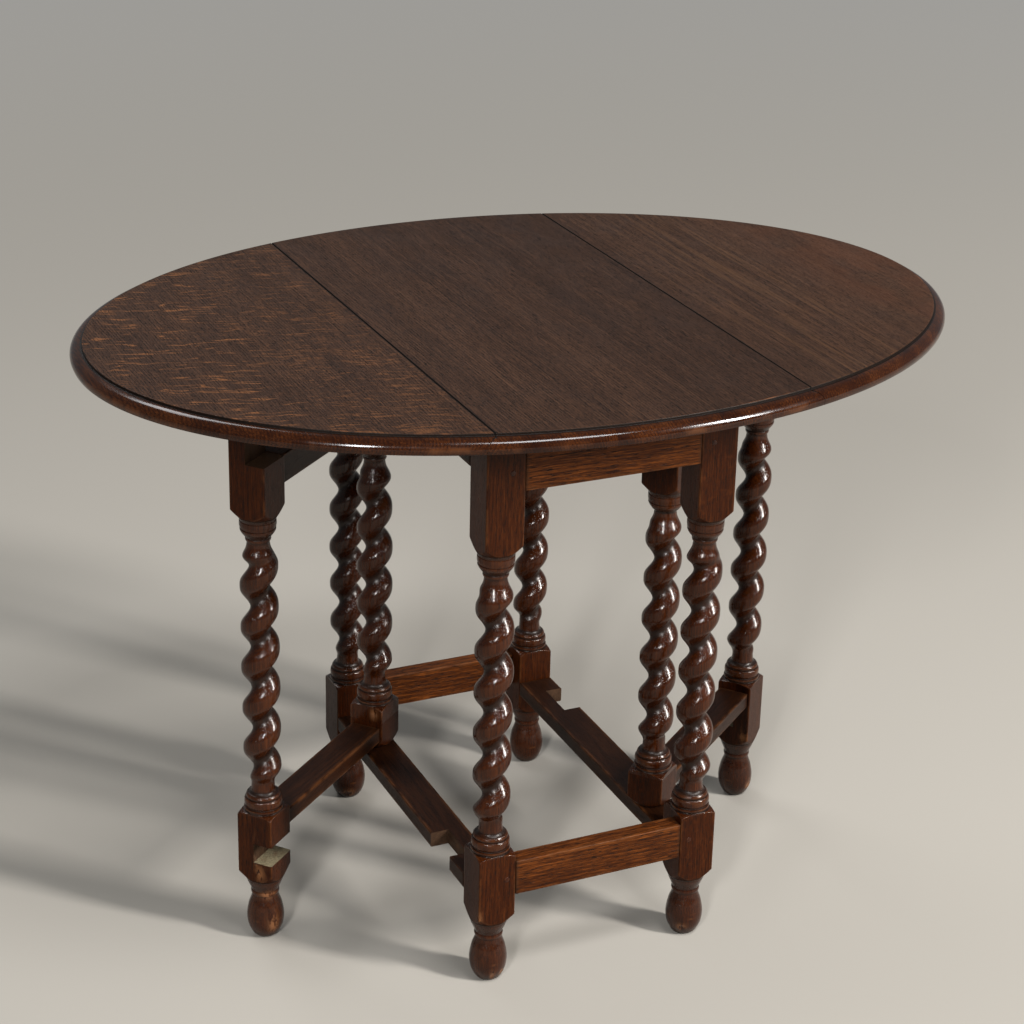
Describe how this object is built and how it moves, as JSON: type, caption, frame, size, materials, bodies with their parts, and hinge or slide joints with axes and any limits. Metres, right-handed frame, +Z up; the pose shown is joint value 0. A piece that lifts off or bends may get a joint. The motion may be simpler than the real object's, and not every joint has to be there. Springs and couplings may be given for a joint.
{
  "type": "gateleg table",
  "caption": "Oval drop-leaf oak table with barley-twist legs, standing open on swinging gates that hold up its leaves.",
  "frame": {"origin": "on the floor, under the centre of the oval top", "axes": "+Z up, +X across the leaves along the oval's long axis, +Y along the hinge lines"},
  "size_m": [1.0384, 0.7566, 0.728],
  "materials": {
    "top_oak": "dark waxed oak, fine straight grain, dull satin",
    "turned_oak": "red-brown stained oak, glossy French polish",
    "rail_oak": "dark red-brown stained oak, satin polish",
    "figured_oak": "orange-brown oak with coarse dark pores, satin polish",
    "plain_oak": "unpolished oak, brown with age",
    "peg_oak": "oak end grain, stained dark",
    "hinge_steel": "dull steel, darkened with age"
  },
  "bodies": {
    "frame": {"center_top": "top_oak", "back_left_leg": "turned_oak", "back_right_leg": "turned_oak", "front_left_leg": "turned_oak", "front_right_leg": "turned_oak", "back_apron": "figured_oak", "back_left_apron_peg": "peg_oak", "back_left_glue_block": "plain_oak", "back_left_rail_peg": "peg_oak", "back_left_stretcher_peg": "peg_oak", "back_right_apron_peg": "peg_oak", "back_right_glue_block": "plain_oak", "back_right_rail_peg": "peg_oak", "back_right_stretcher_peg": "peg_oak", "back_stretcher": "figured_oak", "front_apron": "figured_oak", "front_left_apron_peg": "peg_oak", "front_left_glue_block": "plain_oak", "front_left_rail_peg": "peg_oak", "front_left_stretcher_peg": "peg_oak", "front_right_apron_peg": "peg_oak", "front_right_glue_block": "plain_oak", "front_right_rail_peg": "peg_oak", "front_right_stretcher_peg": "peg_oak", "front_stretcher": "figured_oak", "left_back_hinge_frame_flap": "hinge_steel", "left_back_hinge_pin": "hinge_steel", "left_front_hinge_frame_flap": "hinge_steel", "left_front_hinge_pin": "hinge_steel", "left_long_stretcher": "rail_oak", "left_top_rail": "rail_oak", "right_back_hinge_frame_flap": "hinge_steel", "right_back_hinge_pin": "hinge_steel", "right_front_hinge_frame_flap": "hinge_steel", "right_front_hinge_pin": "hinge_steel", "right_long_stretcher": "rail_oak", "right_top_rail": "rail_oak"},
    "left_gate": {"left_pivot_post": "turned_oak", "left_gate_leg": "turned_oak", "left_gate_top_rail": "rail_oak", "left_gate_low_rail": "rail_oak"},
    "right_gate": {"right_pivot_post": "turned_oak", "right_gate_leg": "turned_oak", "right_gate_top_rail": "rail_oak", "right_gate_low_rail": "rail_oak"},
    "left_leaf": {"left_leaf": "top_oak", "left_gate_stop": "plain_oak", "left_front_hinge_leaf_flap": "hinge_steel", "left_back_hinge_leaf_flap": "hinge_steel"},
    "right_leaf": {"right_leaf": "top_oak", "right_gate_stop": "plain_oak", "right_front_hinge_leaf_flap": "hinge_steel", "right_back_hinge_leaf_flap": "hinge_steel"}
  },
  "joints": [
    {"name": "left_gate_swing", "type": "hinge", "parent": "frame", "child": "left_gate", "pos_m": [-0.1285, 0.1325, 0.128], "axis": [0, 0, 1], "range_deg": [0, 49.7]},
    {"name": "right_gate_swing", "type": "hinge", "parent": "frame", "child": "right_gate", "pos_m": [0.1285, -0.1325, 0.128], "axis": [0, 0, 1], "range_deg": [0, 51.5]},
    {"name": "left_leaf_lift", "type": "hinge", "parent": "frame", "child": "left_leaf", "pos_m": [-0.183, 0, 0.712], "axis": [0, 1, 0], "range_deg": [0, 1.5]},
    {"name": "right_leaf_lift", "type": "hinge", "parent": "frame", "child": "right_leaf", "pos_m": [0.183, 0, 0.712], "axis": [0, -1, 0], "range_deg": [0, 1.5]}
  ]
}
